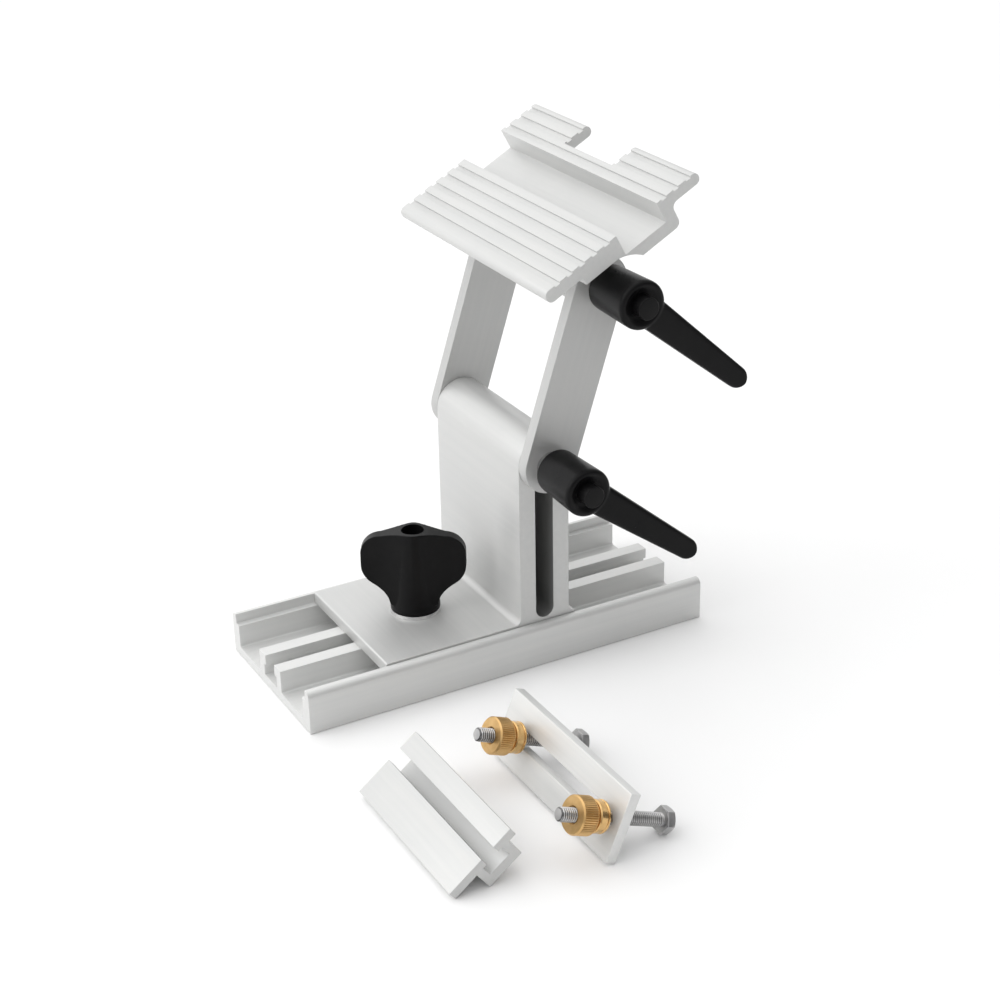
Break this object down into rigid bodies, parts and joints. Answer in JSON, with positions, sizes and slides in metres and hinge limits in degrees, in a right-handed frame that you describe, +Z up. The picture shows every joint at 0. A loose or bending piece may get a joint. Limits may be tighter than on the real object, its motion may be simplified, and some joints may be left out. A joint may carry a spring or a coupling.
{
  "type": "bench grinder tool rest",
  "caption": "Adjustable aluminium tool rest: slotted carriage on a T-slot base rail, two arms and a tilting channelled table, with a loose slide guide and a bolted tool clamp.",
  "frame": {"origin": "centre of the base rail's underside, on the surface that the object stands on", "axes": "+X along the base rail towards the table's raised edge, +Z up, -Y towards the clamping levers"},
  "size_m": [0.2025, 0.2508, 0.2245],
  "materials": {
    "silver_aluminium": "satin anodised, fine brushed grain",
    "zinc_steel": "bright zinc plated",
    "black_plastic": "fine moulded grain",
    "brass": "turned, satin"
  },
  "bodies": {
    "base": {"base_rail": "silver_aluminium"},
    "carriage": {"carriage": "silver_aluminium", "knob_washer": "zinc_steel", "rail_t_bolt": "zinc_steel"},
    "knob": {"wing_knob": "black_plastic", "knob_insert": "brass"},
    "pivot": {"lower_pivot_bolt": "zinc_steel", "lower_back_washer": "zinc_steel"},
    "arms": {"front_arm": "silver_aluminium", "back_arm": "silver_aluminium", "upper_pivot_bolt": "zinc_steel", "upper_back_washer": "zinc_steel"},
    "table": {"tool_table": "silver_aluminium"},
    "lower_hub": {"lower_lever_insert": "zinc_steel"},
    "lower_lever": {"lower_lever_handle": "black_plastic", "lower_lever_spring": "zinc_steel"},
    "lower_button": {"lower_lever_button": "black_plastic"},
    "upper_hub": {"upper_lever_insert": "zinc_steel"},
    "upper_lever": {"upper_lever_handle": "black_plastic", "upper_lever_spring": "zinc_steel"},
    "upper_button": {"upper_lever_button": "black_plastic"},
    "guide": {"slide_guide": "silver_aluminium"},
    "clamp": {"clamp_plate": "silver_aluminium"},
    "bolt_back": {"clamp_bolt_back": "zinc_steel"},
    "bolt_front": {"clamp_bolt_front": "zinc_steel"},
    "nut_back": {"clamp_nut_back": "brass"},
    "nut_front": {"clamp_nut_front": "brass"}
  },
  "joints": [
    {"name": "carriage_slide", "type": "slide", "parent": "base", "child": "carriage", "axis": [1, 0, 0], "range_m": [-0.039, 0.066]},
    {"name": "knob_turn", "type": "hinge", "parent": "carriage", "child": "knob", "pos_m": [-0.0275, 0, 0.0226], "axis": [0, 0, 1], "range_deg": [0, 110]},
    {"name": "height_slide", "type": "slide", "parent": "carriage", "child": "pivot", "axis": [0, 0, 1], "range_m": [-0.055, 0]},
    {"name": "arm_swing", "type": "hinge", "parent": "pivot", "child": "arms", "pos_m": [0.0185, 0, 0.0985], "axis": [0, 1, 0], "range_deg": [-78, 60]},
    {"name": "table_tilt", "type": "hinge", "parent": "arms", "child": "table", "pos_m": [0.0441, 0, 0.17682], "axis": [0, -1, 0], "range_deg": [-115, 50]},
    {"name": "lower_clamp_turn", "type": "hinge", "parent": "pivot", "child": "lower_hub", "pos_m": [0.0185, -0.0465, 0.0985], "axis": [0, -1, 0], "range_deg": [0, 90]},
    {"name": "lower_lever_index", "type": "hinge", "parent": "lower_hub", "child": "lower_lever", "pos_m": [0.0185, -0.06, 0.0985], "axis": [0, -1, 0], "continuous": true},
    {"name": "lower_button_push", "type": "slide", "parent": "lower_lever", "child": "lower_button", "axis": [0, 1, 0], "range_m": [0, 0.0035], "stiffness_N_per_m": 600, "springref_m": -0.002, "deforming": ["lower_lever_spring"]},
    {"name": "upper_clamp_turn", "type": "hinge", "parent": "arms", "child": "upper_hub", "pos_m": [0.0441, -0.0465, 0.17682], "axis": [0, -1, 0], "range_deg": [0, 90]},
    {"name": "upper_lever_index", "type": "hinge", "parent": "upper_hub", "child": "upper_lever", "pos_m": [0.0441, -0.06, 0.17682], "axis": [0, -1, 0], "continuous": true},
    {"name": "upper_button_push", "type": "slide", "parent": "upper_lever", "child": "upper_button", "axis": [0, 1, 0], "range_m": [0, 0.0035], "stiffness_N_per_m": 600, "springref_m": -0.002, "deforming": ["upper_lever_spring"]},
    {"name": "guide_lift", "type": "slide", "parent": "base", "child": "guide", "axis": [0, 0, 1], "range_m": [0, 0.05]},
    {"name": "clamp_lift", "type": "slide", "parent": "base", "child": "clamp", "axis": [0, 0, 1], "range_m": [0, 0.05]},
    {"name": "clamp_bolt_back_slide", "type": "slide", "parent": "clamp", "child": "bolt_back", "axis": [0, -1, 0], "range_m": [-0.008, 0.02]},
    {"name": "clamp_bolt_front_slide", "type": "slide", "parent": "clamp", "child": "bolt_front", "axis": [0, -1, 0], "range_m": [-0.0265, 0]},
    {"name": "clamp_nut_back_turn", "type": "hinge", "parent": "bolt_back", "child": "nut_back", "pos_m": [-0.03072, -0.1129, 0.01434], "axis": [-0.9252, 0, 0.3795], "continuous": true},
    {"name": "clamp_nut_front_turn", "type": "hinge", "parent": "bolt_front", "child": "nut_front", "pos_m": [-0.03072, -0.1774, 0.01434], "axis": [-0.9252, 0, 0.3795], "continuous": true}
  ]
}
